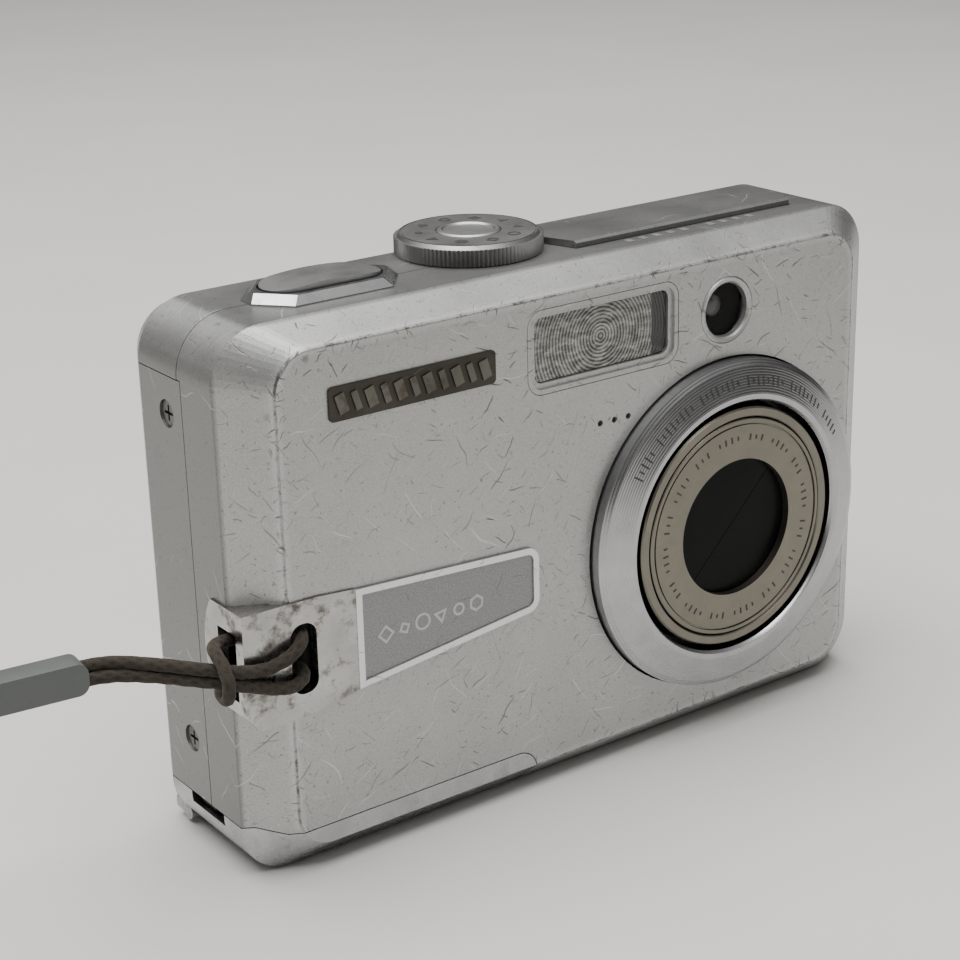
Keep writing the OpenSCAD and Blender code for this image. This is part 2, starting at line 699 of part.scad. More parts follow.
// Centreline of the cord: from the clip to the post, through the lug, round its own two runs as a
// girth hitch, back through the lug and to the clip again
cord_route = [[-61.4, 5.5, 28.95], [-57, 4.75, 28.75], [-53, 2.4, 28.2], [-50, 0.4, 27.6], [-48, -0.8, 27.2],
    [-46, -1.4, 26.7], [-44, -1.4, 26.2], [-42, -1.35, 26.1], [-40, -1.3, 26.6], [-38.2, -0.5, 27.4],
    [-37.5, 1.1, 27.9], [-38.6, 2.8, 28], [-40.6, 3.4, 27.9], [-42.8, 3.5, 27.9], [-45, 3.3, 28.1],
    [-46.8, 2, 28.5], [-47.8, 0, 28.8], [-48.1, -2, 28.2], [-48.1, -3, 26.5], [-47.9, -2.3, 24.7],
    [-47.4, -0.5, 23.9], [-46.6, 1.6, 23.6], [-45, 3.2, 23.7], [-42.8, 3.5, 24], [-40.6, 3.4, 24],
    [-38.6, 2.8, 23.9], [-37.5, 1.1, 23.6], [-38.2, -0.5, 23.3], [-40, -1.3, 23.2], [-42, -1.35, 23.6],
    [-44, -1.4, 24.4], [-46, -1.4, 25.2], [-48, -0.8, 25.9], [-50, 0.4, 26.3], [-53, 2.3, 26.9],
    [-57, 4.1, 27.55], [-61.4, 4.9, 27.8]];
cord_sides = 8;

function unit(v) = v / norm(v);
function route_dir(p, i) = unit(p[min(i + 1, len(p) - 1)] - p[max(i - 1, 0)]);
// Each ring's first radial direction is the last one's, turned with the route
function carried(u, d) = unit(u - (u * d) * d);
function frames(p, i = 0, u = [0, 0, 1]) = i == len(p) ? [] :
    let (d = route_dir(p, i), n = carried(u, d)) concat([[n, cross(d, n)]], frames(p, i + 1, n));

module swept_tube(p, r, sides) {
    f = frames(p);
    n = len(p);
    points = [for (i = [0:n - 1], k = [0:sides - 1])
        p[i] + r * (cos(360 * k / sides) * f[i][0] + sin(360 * k / sides) * f[i][1])];
    walls = [for (i = [0:n - 2], k = [0:sides - 1]) let (a = i * sides + k, b = i * sides + (k + 1) % sides)
        [a, a + sides, b + sides, b]];
    near_end = [for (k = [0:sides - 1]) k];
    far_end = [for (k = [sides - 1:-1:0]) (n - 1) * sides + k];
    polyhedron(points, concat(walls, [near_end, far_end]));
}

module strap_cord() color([0.25, 0.2, 0.16]) in_frame() swept_tube(cord_route, cord_d / 2, cord_sides);

clip_l = 16.6;
clip_h = 3.4;
clip_t = 3;

// Flat moulded link: the cord's ends are fixed in a pocket at the near end, the far end has a strap slot
module strap_clip() color([0.42, 0.43, 0.42]) in_frame() translate([-59.6, 5.05, 28.35]) rotate([0, 0, -6])
    difference() {
        rotate([90, 0, 0]) linear_extrude(clip_t, center = true) translate([-clip_l / 2, 0])
            rounded(-clip_l / 2, clip_l / 2, -clip_h / 2, clip_h / 2, 1.2);
        translate([-1, -0.1, 0]) cube([4, 2.3, 2.6], center = true);
        translate([-clip_l + 2.2, 0, 0]) cube([1.4, 6, 2], center = true);
    }

front_cover();
rear_cover();
top_cover();
battery_door();
door_hinge_sleeve();
door_hinge_pin();
door_contacts();
strap_lug();
model_badge();
name_plate();
lens_ring();
lens_housing();
outer_barrel();
inner_barrel();
barrier_blade_upper();
barrier_blade_lower();
front_lens();
rear_lens();
image_sensor();
zoom_motor();
flash_bezel();
flash_window();
flash_reflector();
flash_tube();
flash_capacitor();
finder_ring();
finder_window();
finder_tube();
finder_lens();
eyepiece_window();
microphone();
shutter_bezel();
shutter_button();
shutter_switch();
mode_dial();
dial_cap();
dial_switch();
lcd_window();
lcd_panel();
key_board();
zoom_rocker();
pad_ring();
four_way_pad();
ok_button();
playback_button();
menu_button();
power_button();
mode_button();
jack_cover();
usb_jack();
cable_plug();
tripod_bush();
cover_screws();
chassis_plate();
battery_box();
battery_cells();
card_slot();
main_board();
strap_cord();
strap_clip();
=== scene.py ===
# %% [markdown]
# # A pocket camera, finished around its CAD frame
# The CAD model already holds every cover, barrel, key and screw in its place. This lesson adds
# what a CAD model lacks: the camera's worn silver paint, its polished lug, the ribbed flash window,
# a braided wrist cord and soft light. Everything is in metres, in the CAD model's own frame:
# +X to the right as seen from the front, -Y out of the lens, +Z up.

# %% Load the frame
import json
import math

import bpy
from mathutils import Matrix, Vector


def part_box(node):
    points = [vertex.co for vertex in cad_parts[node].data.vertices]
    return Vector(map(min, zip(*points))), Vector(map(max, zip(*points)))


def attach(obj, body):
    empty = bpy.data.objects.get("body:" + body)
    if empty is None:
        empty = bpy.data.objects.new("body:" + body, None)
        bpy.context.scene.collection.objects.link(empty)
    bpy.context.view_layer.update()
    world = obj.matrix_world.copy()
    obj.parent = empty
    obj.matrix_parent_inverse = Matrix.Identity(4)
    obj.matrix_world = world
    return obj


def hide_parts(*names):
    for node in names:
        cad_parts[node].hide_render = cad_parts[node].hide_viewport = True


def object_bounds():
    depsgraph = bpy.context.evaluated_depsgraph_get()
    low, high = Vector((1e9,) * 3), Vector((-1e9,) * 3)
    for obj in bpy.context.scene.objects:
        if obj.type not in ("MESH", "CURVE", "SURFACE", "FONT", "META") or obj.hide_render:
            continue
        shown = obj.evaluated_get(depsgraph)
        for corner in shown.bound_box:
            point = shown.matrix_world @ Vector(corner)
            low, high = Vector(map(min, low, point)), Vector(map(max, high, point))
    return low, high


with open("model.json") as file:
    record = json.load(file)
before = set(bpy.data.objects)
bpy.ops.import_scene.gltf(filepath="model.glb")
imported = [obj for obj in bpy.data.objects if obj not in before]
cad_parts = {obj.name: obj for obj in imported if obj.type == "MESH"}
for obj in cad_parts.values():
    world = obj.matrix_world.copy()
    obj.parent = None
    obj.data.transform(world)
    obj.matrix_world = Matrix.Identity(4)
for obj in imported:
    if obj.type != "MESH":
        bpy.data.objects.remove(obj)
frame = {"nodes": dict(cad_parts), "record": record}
cad_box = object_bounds()
nodes = frame["nodes"]
MM = 0.001
print("CAD nodes:", len(nodes))

# %% [markdown]
# ## The camera that looks at the camera
# The viewer stands a little to the left and above. The view is built from a point to look at, a
# distance, two angles for the direction and a slight roll. A long lens keeps the body's lines nearly
# parallel.

# %% Viewing camera
LOOK_AT = Vector((-0.01496, -0.01025, 0.03929))
VIEW_DISTANCE = 0.22053
AZIMUTH, ELEVATION, ROLL = math.radians(-35.71), math.radians(20.31), math.radians(-1.42)
FOCAL_LENGTH = 78.06

towards_eye = Vector((
    math.cos(ELEVATION) * math.sin(AZIMUTH),
    -math.cos(ELEVATION) * math.cos(AZIMUTH),
    math.sin(ELEVATION),
))
level_right = (-towards_eye).cross(Vector((0, 0, 1))).normalized()
level_up = level_right.cross(-towards_eye)
right = math.cos(ROLL) * level_right + math.sin(ROLL) * level_up
up = -math.sin(ROLL) * level_right + math.cos(ROLL) * level_up

bpy.ops.object.camera_add()
viewer = bpy.context.object
viewer.name = "viewer"
viewer.data.lens = FOCAL_LENGTH
viewer.data.sensor_width = 36
viewer.data.clip_start = 0.01
viewer.data.clip_end = 20
turn = Matrix((right, up, towards_eye)).transposed().to_4x4()
viewer.matrix_world = Matrix.Translation(LOOK_AT + VIEW_DISTANCE * towards_eye) @ turn
bpy.context.scene.camera = viewer
print(f"viewer: {VIEW_DISTANCE:.3f} m away, {FOCAL_LENGTH} mm lens")

# %% [markdown]
# ## Small helpers for working by hand
# Blender's operators act on whatever is selected, so each step first selects just its own object.
# A finished piece has its place in its mesh and its object at the origin, like the CAD nodes.

# %% Helpers: selecting, settling, joining
def alone(*objects):
    """Selects only these objects; the first one is active."""
    if bpy.context.object and bpy.context.object.mode != "OBJECT":
        bpy.ops.object.mode_set(mode="OBJECT")
    bpy.ops.object.select_all(action="DESELECT")
    for obj in objects:
        obj.select_set(True)
    if objects:
        bpy.context.view_layer.objects.active = objects[0]


def settle(obj):
    """Moves an object's place and size into its mesh."""
    alone(obj)
    bpy.ops.object.transform_apply(location=True, rotation=True, scale=True)
    return obj


def joined(objects, name):
    """Joins settled objects into one piece."""
    alone(*objects)
    if len(objects) > 1:
        bpy.ops.object.join()
    piece = bpy.context.object
    piece.name = name
    return settle(piece)


def apply_modifier(obj, kind, **settings):
    """Adds a modifier, sets it and applies it at once."""
    alone(obj)
    modifier = obj.modifiers.new(kind.lower(), kind)
    for key, value in settings.items():
        setattr(modifier, key, value)
    bpy.ops.object.modifier_apply(modifier=modifier.name)
    return obj


def rounded_edges(obj, width, segments=2, angle=30):
    """Rounds the sharp edges and shades the rest smooth."""
    apply_modifier(obj, "BEVEL", width=width, segments=segments, limit_method="ANGLE",
                   angle_limit=math.radians(angle), harden_normals=False)
    alone(obj)
    bpy.ops.object.shade_smooth_by_angle(angle=math.radians(angle))
    return obj


def softened(node, name, width, segments=2, angle=30):
    """Copies a CAD node, merges its loose triangles and rounds its edges; the copy replaces the node."""
    copy = nodes[node].copy()
    copy.data = nodes[node].data.copy()
    bpy.context.scene.collection.objects.link(copy)
    copy.name = name
    copy.parent = None
    for key in list(copy.keys()):
        del copy[key]
    alone(copy)
    bpy.ops.object.mode_set(mode="EDIT")
    bpy.ops.mesh.select_all(action="SELECT")
    bpy.ops.mesh.remove_doubles(threshold=0.004 * MM)
    bpy.ops.mesh.dissolve_limited(angle_limit=math.radians(1))
    bpy.ops.object.mode_set(mode="OBJECT")
    rounded_edges(copy, width, segments, angle)
    return copy


def finished(piece, body, finish, replaces=()):
    """Gives a piece its finish, hangs it on the body it rides on and hides the CAD nodes it replaces."""
    piece.data.materials.clear()
    piece.data.materials.append(finish)
    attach(piece, body)
    if replaces:
        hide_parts(*replaces)
    print(f"{piece.name}: {len(piece.data.polygons)} faces on {body}")
    return piece


# %% [markdown]
# ## The wrist cord
# The cord is a thin brown braid that stands out almost straight to the left. Its two ends
# sit in a small clip; between them it goes round the lug's corner post and through its own loop, a
# girth hitch. The line below is that route, point by point, and a smooth curve goes through it. The
# braid is modelled: each ring of the tube swells where a strand passes on top, and the same number
# is kept on the mesh so that the finish can paint shade into the grooves.

# %% Cord route
CORD_DIAMETER = 1.25 * MM
FRONT_TO_MIDDLE = 10.25      # from the front face back to the frame's origin, in mm
CORD_ROUTE = [
    (-61.4, 5.5, 28.95), (-57, 4.75, 28.75), (-53, 2.4, 28.2), (-50, 0.4, 27.6), (-48, -0.8, 27.2),
    (-46, -1.4, 26.7), (-44, -1.4, 26.2), (-42, -1.35, 26.1), (-40, -1.3, 26.6), (-38.2, -0.5, 27.4),
    (-37.5, 1.1, 27.9), (-38.6, 2.8, 28), (-40.6, 3.4, 27.9), (-42.8, 3.5, 27.9), (-45, 3.3, 28.1),
    (-46.8, 2, 28.5), (-47.8, 0, 28.8), (-48.1, -2, 28.2), (-48.1, -3, 26.5), (-47.9, -2.3, 24.7),
    (-47.4, -0.5, 23.9), (-46.6, 1.6, 23.6), (-45, 3.2, 23.7), (-42.8, 3.5, 24), (-40.6, 3.4, 24),
    (-38.6, 2.8, 23.9), (-37.5, 1.1, 23.6), (-38.2, -0.5, 23.3), (-40, -1.3, 23.2), (-42, -1.35, 23.6),
    (-44, -1.4, 24.4), (-46, -1.4, 25.2), (-48, -0.8, 25.9), (-50, 0.4, 26.3), (-53, 2.3, 26.9),
    (-57, 4.1, 27.55), (-61.4, 4.9, 27.8),
]


def smooth_line(points, steps):
    """A curve through all the points (Catmull-Rom), with steps pieces between each two."""
    line = []
    last = len(points) - 1
    for i in range(last):
        a, b, c, d = points[max(i - 1, 0)], points[i], points[i + 1], points[min(i + 2, last)]
        for k in range(steps):
            t = k / steps
            line.append(0.5 * (2 * b + (c - a) * t + (2 * a - 5 * b + 4 * c - d) * t**2
                               + (3 * b - a - 3 * c + d) * t**3))
    return line + [points[last]]


route = [Vector((x, y - FRONT_TO_MIDDLE, z)) * MM for x, y, z in CORD_ROUTE]
cord_line = smooth_line(route, 14)

# %% Braided tube
BRAID_SIDES = 24
BRAID_PITCH = 1.9 * MM
STRANDS = 5
MEAN_RADIUS, STRAND_SWELL = 1.04, 0.08      # as shares of the cord's radius


def braided_tube(name, line, radius):
    """A closed tube along the line whose surface rises and falls like crossing strands."""
    points, lifts, faces = [], [], []
    across = Vector((0, 0, 1))
    travelled = 0.0
    for i, centre in enumerate(line):
        ahead = (line[min(i + 1, len(line) - 1)] - line[max(i - 1, 0)]).normalized()
        across = (across - across.dot(ahead) * ahead).normalized()
        side = ahead.cross(across)
        if i:
            travelled += (centre - line[i - 1]).length
        phase = 2 * math.pi * travelled / BRAID_PITCH
        for k in range(BRAID_SIDES):
            angle = 2 * math.pi * k / BRAID_SIDES
            lift = max(math.cos(STRANDS * angle + phase), math.cos(STRANDS * angle - phase))
            reach = radius * (MEAN_RADIUS + STRAND_SWELL * lift)
            points.append(centre + reach * (math.cos(angle) * across + math.sin(angle) * side))
            lifts.append(0.5 + 0.5 * lift)
    for i in range(len(line) - 1):
        for k in range(BRAID_SIDES):
            a, b = i * BRAID_SIDES + k, i * BRAID_SIDES + (k + 1) % BRAID_SIDES
            faces.append((a, b, b + BRAID_SIDES, a + BRAID_SIDES))
    faces.append(tuple(range(BRAID_SIDES - 1, -1, -1)))
    faces.append(tuple(range(len(points) - BRAID_SIDES, len(points))))
    mesh = bpy.data.meshes.new(name)
    mesh.from_pydata(points, [], faces)
    strand = mesh.attributes.new("strand", "FLOAT", "POINT")
    strand.data.foreach_set("value", lifts)
    tube = bpy.data.objects.new(name, mesh)
    bpy.context.scene.collection.objects.link(tube)
    alone(tube)
    bpy.ops.object.shade_smooth()
    return tube


cord = braided_tube("wrist_cord", cord_line, CORD_DIAMETER / 2)

# %% [markdown]
# ## Building finishes from nodes
# Each finish is a small node tree. Small helpers keep the trees readable: one adds a node and wires
# its inputs, one makes a cloudy pattern of a given size, and one makes fine scratches. Patterns are
# measured in millimetres on the object itself, so they stay where they are when a part moves.

# %% Helpers: node trees
def put(tree, kind, inputs=None, **settings):
    """Adds a node; an input that is a socket is linked, any other value is set."""
    node = tree.nodes.new(kind)
    for key, value in settings.items():
        setattr(node, key, value)
    for key, value in (inputs or {}).items():
        if isinstance(value, bpy.types.NodeSocket):
            tree.links.new(value, node.inputs[key])
        else:
            node.inputs[key].default_value = value
    return node


def maths(tree, operation, a, b=0.0, clamp=False):
    return put(tree, "ShaderNodeMath", {0: a, 1: b}, operation=operation, use_clamp=clamp).outputs[0]


def between(tree, value, low, high, new_low=0.0, new_high=1.0):
    """Maps a value from one range to another and stops at the ends."""
    inputs = {"Value": value, "From Min": low, "From Max": high, "To Min": new_low, "To Max": new_high}
    return put(tree, "ShaderNodeMapRange", inputs).outputs["Result"]


def blended(tree, amount, a, b, blend="MIX"):
    """Mixes two colours by an amount from 0 to 1."""
    node = put(tree, "ShaderNodeMix", data_type="RGBA", blend_type=blend)
    for socket, value in ((node.inputs[0], amount), (node.inputs[6], a), (node.inputs[7], b)):
        if isinstance(value, bpy.types.NodeSocket):
            tree.links.new(value, socket)
        else:
            socket.default_value = value
    return node.outputs[2]


def grey(value):
    return (value, value, value, 1)


def own_place(tree):
    return put(tree, "ShaderNodeTexCoord").outputs["Object"]


def scaled_place(tree, size_mm, stretch=(1, 1, 1), turn=(0, 0, 0), shift=0.0):
    """The piece's own coordinates, counted in steps of size_mm and stretched along turned axes."""
    steps = [size_mm * MM * amount for amount in stretch]
    moved = put(tree, "ShaderNodeMapping", {"Vector": own_place(tree), "Rotation": turn, "Scale": steps,
                                            "Location": (shift * MM, shift * 0.7 * MM, -shift * MM)},
                vector_type="TEXTURE")
    return moved.outputs[0]


def cloud(tree, size_mm, detail=3.0, rough=0.55, turn=(0, 0, 0), stretch=(1, 1, 1), shift=0.0):
    """A cloudy pattern whose blobs are about size_mm across, stretched along turned axes."""
    noise = put(tree, "ShaderNodeTexNoise", {"Vector": scaled_place(tree, size_mm, stretch, turn, shift),
                                             "Scale": 1.0, "Detail": detail, "Roughness": rough})
    return noise.outputs["Fac"]


def vector_maths(tree, operation, a, b=(0, 0, 0), output=0):
    return put(tree, "ShaderNodeVectorMath", {0: a, 1: b}, operation=operation).outputs[output]


def hairs(tree, cell_mm, width_mm, share=0.5, shift=0.0):
    """Short straight scratches in all directions: at most one in each cell of a Voronoi pattern."""
    place = scaled_place(tree, cell_mm, shift=shift)
    wavy = put(tree, "ShaderNodeTexNoise", {"Vector": place, "Scale": 1.2, "Detail": 1.0})
    wander = vector_maths(tree, "SUBTRACT", wavy.outputs["Color"], (0.5, 0.5, 0.5))
    wander = vector_maths(tree, "SCALE", wander)
    wander.node.inputs["Scale"].default_value = 0.35
    bent = vector_maths(tree, "ADD", place, wander)
    cells = put(tree, "ShaderNodeTexVoronoi", {"Vector": bent, "Scale": 1.0})
    local = vector_maths(tree, "SUBTRACT", bent, cells.outputs["Position"])
    lean = vector_maths(tree, "SUBTRACT", cells.outputs["Color"], (0.5, 0.5, 0.5))
    across = vector_maths(tree, "DOT_PRODUCT", local, vector_maths(tree, "NORMALIZE", lean), output="Value")
    half = width_mm / cell_mm / 2
    line = between(tree, maths(tree, "ABSOLUTE", across), half * 0.4, half, 1.0, 0.0)
    reach = vector_maths(tree, "LENGTH", local, output="Value")
    ends = between(tree, reach, 0.3, 0.55, 1.0, 0.0)
    chosen = put(tree, "ShaderNodeSeparateColor", {0: cells.outputs["Color"]}).outputs[2]
    kept = between(tree, chosen, 1.0 - share, 1.0 - share + 0.15)
    return maths(tree, "MULTIPLY", maths(tree, "MULTIPLY", line, ends), kept)


def either(tree, *values):
    """The largest of several values."""
    most = values[0]
    for value in values[1:]:
        most = maths(tree, "MAXIMUM", most, value)
    return most


def bumps(tree, height, distance_mm, strength=1.0, below=None):
    inputs = {"Height": height, "Distance": distance_mm * MM, "Strength": strength}
    if below is not None:
        inputs["Normal"] = below
    return put(tree, "ShaderNodeBump", inputs).outputs["Normal"]


def new_finish(name, **sockets):
    """A material and its main shader, with plain values set on the shader's own sockets."""
    material = bpy.data.materials.new(name)
    material.use_nodes = True
    tree = material.node_tree
    shader = tree.nodes["Principled BSDF"]
    for key, value in sockets.items():
        shader.inputs[key.replace("_", " ")].default_value = value
    return material, tree, shader


def wire(tree, shader, **sockets):
    for key, socket in sockets.items():
        tree.links.new(socket, shader.inputs[key.replace("_", " ")])


# %% [markdown]
# ## Silver paint that has been carried around
# The covers look like moulded plastic under satin silver paint with fine flakes. Wear shows as four
# things to copy: a cloudy haze, many hair scratches in all directions, a few dark rubs, and chips
# along the crease round the front face, where the dark plastic shows. Light is painted in as well:
# painted shade on the flat sides and the top, a thin painted shade line along the crease and a
# painted highlight just inside it. The crease is found by arithmetic: the distance of each point
# from a rounded rectangle in the plane of the front face.

# %% Distance from a rounded rectangle
def off_outline(tree, box, corner):
    """How far a point lies from a rounded rectangle (x0, x1, z0, z1) seen from the front, in metres."""
    x0, x1, z0, z1 = box
    middle = ((x0 + x1) / 2, 0, (z0 + z1) / 2)
    half = ((x1 - x0) / 2 - corner, 0, (z1 - z0) / 2 - corner)
    flat = put(tree, "ShaderNodeVectorMath", {0: own_place(tree), 1: (1, 0, 1)}, operation="MULTIPLY")
    moved = put(tree, "ShaderNodeVectorMath", {0: flat.outputs[0], 1: middle}, operation="SUBTRACT")
    folded = put(tree, "ShaderNodeVectorMath", {0: moved.outputs[0]}, operation="ABSOLUTE")
    outside = put(tree, "ShaderNodeVectorMath", {0: folded.outputs[0], 1: half}, operation="SUBTRACT")
    kept = put(tree, "ShaderNodeVectorMath", {0: outside.outputs[0], 1: (0, -1, 0)}, operation="MAXIMUM")
    kept = put(tree, "ShaderNodeVectorMath", {0: kept.outputs[0], 1: (0, 0, 0)}, operation="MAXIMUM")
    length = put(tree, "ShaderNodeVectorMath", {0: kept.outputs[0]}, operation="LENGTH")
    return maths(tree, "ABSOLUTE", maths(tree, "SUBTRACT", length.outputs["Value"], corner))


# %% Silver paint
front_low, front_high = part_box("front_cover")
FRONT_CREASE = (front_low.x + 5.2 * MM, front_high.x - 4.5 * MM, 3.1 * MM, 57.65 * MM)
CREASE_CORNER = 4.2 * MM
# painted shade: the paint on the flat sides and the top is darkened to stand in for the shade the light
# leaves on them
FLATS_PAINTED_SHADE = 0.50         # under this light the sides and the top come out too pale


def silver_paint(name="silver_paint", crease_wear_and_light=True):
    material, tree, shader = new_finish(name, Metallic=0.8, IOR=1.5, Specular_IOR_Level=0.5,
                                        Coat_Weight=0.1, Coat_Roughness=0.3)
    haze = between(tree, cloud(tree, 13, 4, 0.6), 0.32, 0.68)
    tone = blended(tree, haze, (0.35, 0.352, 0.343, 1), (0.43, 0.432, 0.421, 1))
    grain = cloud(tree, 0.14, 1.0, 0.5)
    tone = blended(tree, between(tree, grain, 0.35, 0.7, 0.0, 0.3), tone, grey(0.72))
    specks = between(tree, cloud(tree, 0.5, 2.0, 0.6, shift=31), 0.64, 0.7, 0.0, 0.7)
    tone = blended(tree, specks, tone, grey(0.2))
    rubs = between(tree, cloud(tree, 5, 5, 0.75, shift=7), 0.6, 0.75, 0.0, 0.3)
    tone = blended(tree, rubs, tone, (0.3, 0.29, 0.28, 1))
    place = put(tree, "ShaderNodeSeparateXYZ", {0: own_place(tree)})
    # painted shade: a mask of the flat sides and the top, whose paint is darkened below
    shaded_flats = either(tree, between(tree, maths(tree, "ABSOLUTE", place.outputs["X"]), front_high.x - 0.5 * MM,
                                 front_high.x - 0.1 * MM),
                   between(tree, place.outputs["Z"], front_high.z - 0.3 * MM, front_high.z - 0.1 * MM))
    tone = blended(tree, maths(tree, "MULTIPLY", shaded_flats, FLATS_PAINTED_SHADE), tone, grey(0.02))
    worn_areas = between(tree, cloud(tree, 16, 3, 0.6, shift=12), 0.38, 0.6, 0.25, 1.0)
    worn_areas = maths(tree, "MULTIPLY", worn_areas, maths(tree, "SUBTRACT", 1.0, shaded_flats))
    dark_hairs = either(tree, hairs(tree, 4.5, 0.17, 0.5, 1), hairs(tree, 2.6, 0.14, 0.45, 4),
                        hairs(tree, 1.4, 0.12, 0.4, 9))
    dark_hairs = maths(tree, "MULTIPLY", dark_hairs, worn_areas)
    bright_hairs = either(tree, hairs(tree, 5.5, 0.13, 0.45, 15), hairs(tree, 3.1, 0.11, 0.35, 21))
    tone = blended(tree, maths(tree, "MULTIPLY", dark_hairs, 0.85), tone, (0.12, 0.115, 0.11, 1))
    tone = blended(tree, maths(tree, "MULTIPLY", bright_hairs, 0.5), tone, grey(0.75))
    dents = maths(tree, "SUBTRACT", 1.0, dark_hairs)
    if crease_wear_and_light:
        off_crease = off_outline(tree, FRONT_CREASE, CREASE_CORNER)
        near_front = between(tree, place.outputs["Y"], front_low.y + 0.3 * MM, front_low.y + 0.75 * MM, 1, 0)
        # painted shade and wear: along the crease a thin continuous dark line stands in for the shade in the
        # crease, and the stronger patches on it are chips in the paint
        line = between(tree, off_crease, 0.08 * MM, 0.22 * MM, 1.0, 0.0)
        chips_and_crease_shade = between(tree, cloud(tree, 2.6, 8, 0.9, shift=2), 0.5, 0.56, 0.35, 1.0)
        band = between(tree, off_crease, 0.3 * MM, 1.5 * MM, 1.0, 0.0)
        tufts = either(tree, hairs(tree, 1.1, 0.15, 0.8, 27), hairs(tree, 1.7, 0.17, 0.75, 33))
        tufts = maths(tree, "MULTIPLY", tufts, band)
        tufts = maths(tree, "MULTIPLY", tufts, between(tree, cloud(tree, 6, 2, 0.5, shift=19), 0.42, 0.52))
        # painted highlight: a pale band just inside the crease stands in for the light caught by the rounded
        # edge
        painted_crease_highlight = between(tree, off_crease, 0.2 * MM, 0.9 * MM, 0.22, 0.0)
        tone = blended(tree, maths(tree, "MULTIPLY", painted_crease_highlight, near_front), tone, grey(0.82))
        wear_and_crease_shade = maths(tree, "MULTIPLY", either(tree, maths(tree, "MULTIPLY", line, chips_and_crease_shade), tufts), near_front)
        tone = blended(tree, maths(tree, "MULTIPLY", wear_and_crease_shade, 0.85), tone, (0.05, 0.047, 0.043, 1))
        dents = maths(tree, "SUBTRACT", dents, maths(tree, "MULTIPLY", wear_and_crease_shade, 0.8))
    rough = between(tree, haze, 0, 1, 0.37, 0.47)
    rough = maths(tree, "ADD", rough, maths(tree, "MULTIPLY", dark_hairs, 0.15))
    wire(tree, shader, Base_Color=tone, Roughness=rough,
         Normal=bumps(tree, grain, 0.004, 0.7, bumps(tree, dents, 0.02)))
    return material


# %% [markdown]
# ## Bright metal, turned metal and moulded plastic
# Plated parts are nearly mirrors, so what matters is what breaks the mirror: haze, hair scratches and
# brown dirt in cloudy patches. The ring round the lens is turned on a lathe, which leaves circles round
# the lens axis. The plastics have a fine grain in their moulds.

# %% Bright plating
def bright_plating(name, base=(0.74, 0.74, 0.75, 1), rough=0.16, dirt=0.0, brushed=0.0):
    material, tree, shader = new_finish(name, Metallic=1.0)
    haze = cloud(tree, 5, 4, 0.65, shift=4)
    tone = blended(tree, between(tree, haze, 0.35, 0.7), base, tuple(0.8 * c for c in base[:3]) + (1,))
    lines = either(tree, hairs(tree, 3.2, 0.09, 0.4, 11), hairs(tree, 1.8, 0.07, 0.3, 17))
    tone = blended(tree, maths(tree, "MULTIPLY", lines, 0.4), tone, grey(0.25))
    stains = between(tree, cloud(tree, 2.2, 5, 0.7, shift=9), 0.52, 0.68, 0.0, dirt)
    tone = blended(tree, stains, tone, (0.1, 0.08, 0.058, 1))
    roughness = between(tree, haze, 0.3, 0.7, rough, rough + 0.14)
    roughness = maths(tree, "ADD", roughness, maths(tree, "MULTIPLY", stains, 0.4), clamp=True)
    brush = cloud(tree, 0.25, 2, 0.5, stretch=(1, 1, 14))
    normal = bumps(tree, maths(tree, "MULTIPLY", brush, brushed), 0.02)
    wire(tree, shader, Base_Color=tone, Roughness=roughness, Normal=bumps(tree, haze, 0.02, 0.3, normal))
    return material


# %% Turned metal round the lens axis
lens_low, lens_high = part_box("lens_ring")
LENS_AXIS = ((lens_low.x + lens_high.x) / 2, 0, (lens_low.z + lens_high.z) / 2)


def from_axis(tree, axis_place):
    """Distance of each point from an axis that runs front to back, in metres."""
    place = vector_maths(tree, "SUBTRACT", own_place(tree), axis_place)
    return vector_maths(tree, "LENGTH", vector_maths(tree, "MULTIPLY", place, (1, 0, 1)), output="Value")


def turned_metal(name, base, rough, pitch_mm, depth):
    """Metal with circles round the lens axis, pitch_mm apart."""
    material, tree, shader = new_finish(name, Metallic=1.0)
    radius = from_axis(tree, LENS_AXIS)
    wave = maths(tree, "SINE", maths(tree, "MULTIPLY", radius, 2000 * math.pi / pitch_mm))
    haze = cloud(tree, 4, 4, 0.65, shift=5)
    tone = blended(tree, between(tree, haze, 0.35, 0.7, 0.0, 0.6), base,
                   tuple(0.78 * c for c in base[:3]) + (1,))
    tone = blended(tree, maths(tree, "MULTIPLY", hairs(tree, 3.4, 0.09, 0.35, 23), 0.45), tone, grey(0.2))
    roughness = between(tree, wave, -1, 1, rough, rough + 0.1)
    wire(tree, shader, Base_Color=tone, Roughness=roughness, Normal=bumps(tree, wave, depth))
    return material


# %% Plastics, rubber and glass
def moulded(name, base, rough=0.5, grain_mm=0.15, depth=0.01, wear=0.15, **sockets):
    """Moulded plastic or rubber: a fine grain, cloudy gloss and light wear."""
    material, tree, shader = new_finish(name, **sockets)
    dust = between(tree, cloud(tree, 3, 5, 0.7, shift=6), 0.5, 0.75, 0.0, wear)
    tone = blended(tree, dust, base, tuple(min(1.0, c * 1.8 + 0.03) for c in base[:3]) + (1,))
    gloss = between(tree, cloud(tree, 6, 3, 0.6, shift=8), 0.3, 0.7, rough - 0.06, rough + 0.08)
    wire(tree, shader, Base_Color=tone, Roughness=gloss,
         Normal=bumps(tree, cloud(tree, grain_mm, 2, 0.5), depth))
    return material


